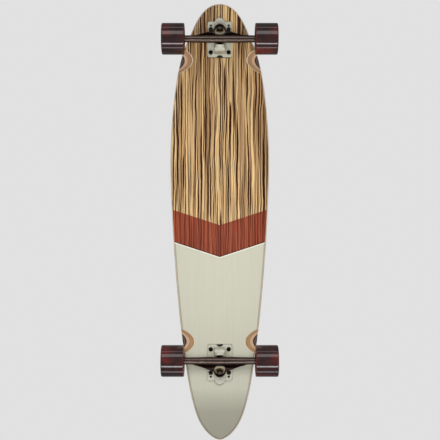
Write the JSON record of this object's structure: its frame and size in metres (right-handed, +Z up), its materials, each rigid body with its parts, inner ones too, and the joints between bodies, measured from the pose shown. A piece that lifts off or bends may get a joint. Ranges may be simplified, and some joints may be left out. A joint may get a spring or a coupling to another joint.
{
  "type": "longboard",
  "caption": "Pintail cruiser longboard: laminated deck with kicktail and wheel wells, two steering reverse-kingpin trucks and soft wheels on ball bearings.",
  "frame": {"origin": "on the ground, in the middle of the length and width, with the board standing on its wheels", "axes": "+X towards the nose, +Y to the left of a rider facing the nose, +Z up"},
  "size_m": [1.016, 0.2608, 0.1299],
  "materials": {
    "deck_maple": "lacquered seven-ply maple with a zebra-wood underside, a red-brown chevron band and pale paint on the tail",
    "grip": "black sanded grip sheet",
    "riser_rubber": "matt black",
    "baseplate_casting": "pale grey-olive paint",
    "hanger_casting": "dark bronze, satin",
    "cup_acetal": "black",
    "steel": "zinc plated",
    "dark_steel": "blackened",
    "bushing_urethane": "cream urethane",
    "wheel_urethane": "dark red translucent urethane"
  },
  "bodies": {
    "board": {"deck": "deck_maple", "grip_tape": "grip", "front_riser_pad": "riser_rubber", "front_baseplate": "baseplate_casting", "front_pivot_cup": "cup_acetal", "front_kingpin": "steel", "front_kingpin_nut": "dark_steel", "front_washer_boardside": "steel", "front_washer_roadside": "steel", "front_bushing_boardside": "bushing_urethane", "front_bushing_roadside": "bushing_urethane", "front_mount_bolt_1": "dark_steel", "front_mount_bolt_2": "dark_steel", "front_mount_bolt_3": "dark_steel", "front_mount_bolt_4": "dark_steel", "rear_riser_pad": "riser_rubber", "rear_baseplate": "baseplate_casting", "rear_pivot_cup": "cup_acetal", "rear_kingpin": "steel", "rear_kingpin_nut": "dark_steel", "rear_washer_boardside": "steel", "rear_washer_roadside": "steel", "rear_bushing_boardside": "bushing_urethane", "rear_bushing_roadside": "bushing_urethane", "rear_mount_bolt_1": "dark_steel", "rear_mount_bolt_2": "dark_steel", "rear_mount_bolt_3": "dark_steel", "rear_mount_bolt_4": "dark_steel"},
    "front_steering": {"front_hanger": "hanger_casting", "front_axle": "steel", "front_left_bearing_spacer": "steel", "front_left_speed_ring_inboard": "steel", "front_left_speed_ring_outboard": "steel", "front_left_axle_nut": "dark_steel", "front_right_bearing_spacer": "steel", "front_right_speed_ring_inboard": "steel", "front_right_speed_ring_outboard": "steel", "front_right_axle_nut": "dark_steel"},
    "rear_steering": {"rear_hanger": "hanger_casting", "rear_axle": "steel", "rear_left_bearing_spacer": "steel", "rear_left_speed_ring_inboard": "steel", "rear_left_speed_ring_outboard": "steel", "rear_left_axle_nut": "dark_steel", "rear_right_bearing_spacer": "steel", "rear_right_speed_ring_inboard": "steel", "rear_right_speed_ring_outboard": "steel", "rear_right_axle_nut": "dark_steel"},
    "front_left_rolling": {"front_left_wheel": "wheel_urethane", "front_left_bearing_inboard": "steel", "front_left_bearing_outboard": "steel"},
    "front_right_rolling": {"front_right_wheel": "wheel_urethane", "front_right_bearing_inboard": "steel", "front_right_bearing_outboard": "steel"},
    "rear_left_rolling": {"rear_left_wheel": "wheel_urethane", "rear_left_bearing_inboard": "steel", "rear_left_bearing_outboard": "steel"},
    "rear_right_rolling": {"rear_right_wheel": "wheel_urethane", "rear_right_bearing_inboard": "steel", "rear_right_bearing_outboard": "steel"}
  },
  "joints": [
    {"name": "front_steer", "type": "hinge", "parent": "board", "child": "front_steering", "pos_m": [0.4277, 0, 0.069], "axis": [0.7431, 0, 0.6691], "range_deg": [-16, 16], "stiffness_Nm_per_rad": 40, "deforming": ["front_bushing_boardside", "front_bushing_roadside"]},
    {"name": "rear_steer", "type": "hinge", "parent": "board", "child": "rear_steering", "pos_m": [-0.3298, 0, 0.069], "axis": [-0.7431, 0, 0.6691], "range_deg": [-16, 16], "stiffness_Nm_per_rad": 40, "deforming": ["rear_bushing_boardside", "rear_bushing_roadside"]},
    {"name": "front_left_spin", "type": "hinge", "parent": "front_steering", "child": "front_left_rolling", "pos_m": [0.4102, 0.1049, 0.035], "axis": [0, 1, 0], "continuous": true},
    {"name": "front_right_spin", "type": "hinge", "parent": "front_steering", "child": "front_right_rolling", "pos_m": [0.4102, -0.1049, 0.035], "axis": [0, 1, 0], "continuous": true},
    {"name": "rear_left_spin", "type": "hinge", "parent": "rear_steering", "child": "rear_left_rolling", "pos_m": [-0.3123, 0.1049, 0.035], "axis": [0, 1, 0], "continuous": true},
    {"name": "rear_right_spin", "type": "hinge", "parent": "rear_steering", "child": "rear_right_rolling", "pos_m": [-0.3123, -0.1049, 0.035], "axis": [0, 1, 0], "continuous": true}
  ]
}
